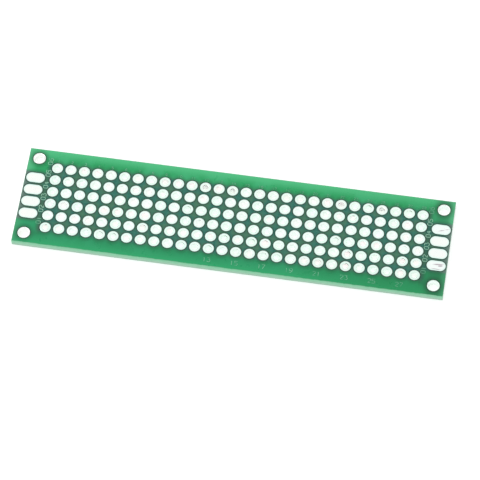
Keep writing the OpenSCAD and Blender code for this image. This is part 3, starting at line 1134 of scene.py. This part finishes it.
pin_eyelets = make_eyelets(
    "pin_hole_eyelets", bore_radius, pad_radius, COLUMNS, ROWS, last_hole.x - first_hole.x,
    first_hole.y - last_hole.y, seed=4)
stand_for(pin_eyelets, ["plated_holes_row_" + letter for letter in "abcdef"])

corner_eyelets = make_eyelets(
    "corner_hole_eyelets", corner_bore_radius, corner_pad_radius, 2, 2, corner_span_x,
    corner_span_y, seed=6)
stand_for(corner_eyelets, sorted(name for name in frame["nodes"] if name.startswith("corner_eyelet_")))

pad_points, pad_edges = drawn_section(long_pad_section(), closed=False)
long_pads = grown("long_end_pads", pad_points, pad_edges, long_pads_on_both_faces, {
    "Straight": long_pad_length - long_pad_width, "Span Along": 2 * long_pad_x,
    "Span Across": (ROWS - 3) * pitch, "Rows": ROWS - 2, "Sheet": HALF_SHEET, "Top": middle_height,
    "Unevenness": UNEVENNESS, "Seed": 2, "Tin": tin}, lift=middle_height)
stand_for(long_pads, sorted(name for name in frame["nodes"] if name.startswith("end_pad_")))

# %% [markdown]
# Boards like this number their columns and rows. The digits of a board are drawn with a plotter's single
# strokes, so each is a few points on a grid of 4 by 6. Numbers are all that is printed.

# %% Digits drawn with single strokes
STROKES = {
    "0": [[(1, 0), (3, 0), (4, 1), (4, 5), (3, 6), (1, 6), (0, 5), (0, 1), (1, 0)]],
    "1": [[(1, 5), (2, 6), (2, 0)]],
    "2": [[(0, 5), (1, 6), (3, 6), (4, 5), (4, 4), (0, 0), (4, 0)]],
    "3": [[(0, 6), (4, 6), (2, 3.6), (3, 3.6), (4, 2.6), (4, 1), (3, 0), (1, 0), (0, 1)]],
    "4": [[(3, 0), (3, 6), (0, 2), (4, 2)]],
    "5": [[(4, 6), (0, 6), (0, 3.5), (3, 3.5), (4, 2.5), (4, 1), (3, 0), (0, 0)]],
    "6": [[(4, 6), (2, 6), (0, 4), (0, 1), (1, 0), (3, 0), (4, 1), (4, 2.5), (3, 3.5), (0, 3.5)]],
    "7": [[(0, 6), (4, 6), (1, 0)]],
    "8": [[(1, 3.2), (0, 4.2), (0, 5), (1, 6), (3, 6), (4, 5), (4, 4.2), (3, 3.2),
           (1, 3.2), (0, 2.2), (0, 1), (1, 0), (3, 0), (4, 1), (4, 2.2), (3, 3.2)]],
    "9": [[(0, 0), (2, 0), (4, 2), (4, 5), (3, 6), (1, 6), (0, 5), (0, 3.5), (1, 2.5), (4, 2.5)]],
}
DIGIT_ROWS = 6
DIGIT_COLUMNS = 4
DIGIT_ADVANCE = 5.6
INK_THICKNESS = 0.008 * MM
INK_STEP = 0.0006 * MM


def drawn_number(text, middle_x, middle_y, height, turned=False):
    """The strokes of a number about its middle. Each point lies a touch higher than the one before, so
    that where a stroke meets another, one layer of ink lies on the other."""
    unit = height / DIGIT_ROWS
    start = -(DIGIT_ADVANCE * (len(text) - 1) + DIGIT_COLUMNS) / 2
    lines, level = [], 0
    for place, digit in enumerate(text):
        for stroke in STROKES[digit]:
            line = []
            for u, v in stroke:
                along = (start + place * DIGIT_ADVANCE + u) * unit
                up = (v - DIGIT_ROWS / 2) * unit
                x, y = (-up, along) if turned else (along, up)
                line.append((middle_x + x, middle_y + y, level * INK_STEP))
                level += 1
            lines.append(line)
    return lines


print("strokes in the digits:", sum(len(s) for s in STROKES.values()))

# %% [markdown]
# Geometry Nodes turn the strokes into ink: each becomes a curve, its corners are rounded as a pen rounds
# them, and a flat strip is swept along it.

# %% Geometry Nodes tree for printed lines
def ink_tree():
    tree, given, result = new_tree("printed lines", {
        "Line Width": "Float", "Thickness": "Float", "Rounding": "Float", "Ink": "Material"})
    lines = add(tree, "GeometryNodeMeshToCurve", [given["Geometry"]])
    soft = add(tree, "GeometryNodeFilletCurve", [lines, 2, given["Rounding"], True], mode="POLY")
    level = add(tree, "GeometryNodeSetCurveNormal", [soft], mode="Z_UP")
    strip = add(
        tree, "GeometryNodeCurvePrimitiveQuadrilateral", [given["Line Width"], given["Thickness"]],
        mode="RECTANGLE")
    inputs = {"Curve": level, "Profile Curve": strip, "Fill Caps": True}
    real = add(tree, "GeometryNodeRealizeInstances", [add(tree, "GeometryNodeCurveToMesh", inputs)])
    coated = add(tree, "GeometryNodeSetMaterial", {"Geometry": real, "Material": given["Ink"]})
    connect(tree, coated, result[0])
    return tree


printed_lines = ink_tree()
print("nodes in the tree:", len(printed_lines.nodes))

# %% [markdown]
# Small column numbers stand over the back row. Row numbers count from the front and lie on their side at
# both ends, where they are read from the right. Every other column of the right half is marked again,
# larger, along the front.

# %% Print the numbers
COLUMN_NUMBER_HEIGHT, COLUMN_LINE = 0.48 * MM, 0.06 * MM
ROW_NUMBER_HEIGHT, ROW_LINE = 0.84 * MM, 0.11 * MM
FRONT_NUMBER_HEIGHT, FRONT_LINE = 0.85 * MM, 0.085 * MM
FRONT_COLUMNS = range(13, COLUMNS, 2)
COLUMN_NUMBER_GAP = 0.58 * MM
ROUNDING = 0.8


def print_numbers(name, lines, width):
    points, edges = [], []
    for line in lines:
        first = len(points)
        points += line
        edges += [(first + i, first + i + 1) for i in range(len(line) - 1)]
    piece = grown(name, points, edges, printed_lines, {
        "Line Width": width, "Thickness": INK_THICKNESS, "Rounding": width * ROUNDING, "Ink": ink},
        lift=mask_top + INK_THICKNESS / 2)
    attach(piece, "root")


over_first_row = first_hole.y + pad_radius + COLUMN_NUMBER_GAP
column_lines = []
for column in range(1, COLUMNS + 1):
    column_lines += drawn_number(str(column), hole_x(column), over_first_row, COLUMN_NUMBER_HEIGHT)
print_numbers("column_numbers", column_lines, COLUMN_LINE)

row_lines = []
for row in range(1, ROWS + 1):
    for side in (-1, 1):
        from_front = "%02d" % (ROWS + 1 - row)
        row_lines += drawn_number(
            from_front, side * row_number_x, row_y(row) + pitch / 2, ROW_NUMBER_HEIGHT, turned=True)
print_numbers("row_numbers", row_lines, ROW_LINE)

before_last_row = (last_hole.y - pad_radius + sheet_low.y) / 2
front_lines = []
for column in FRONT_COLUMNS:
    front_lines += drawn_number(str(column), hole_x(column), before_last_row, FRONT_NUMBER_HEIGHT)
print_numbers("front_numbers", front_lines, FRONT_LINE)
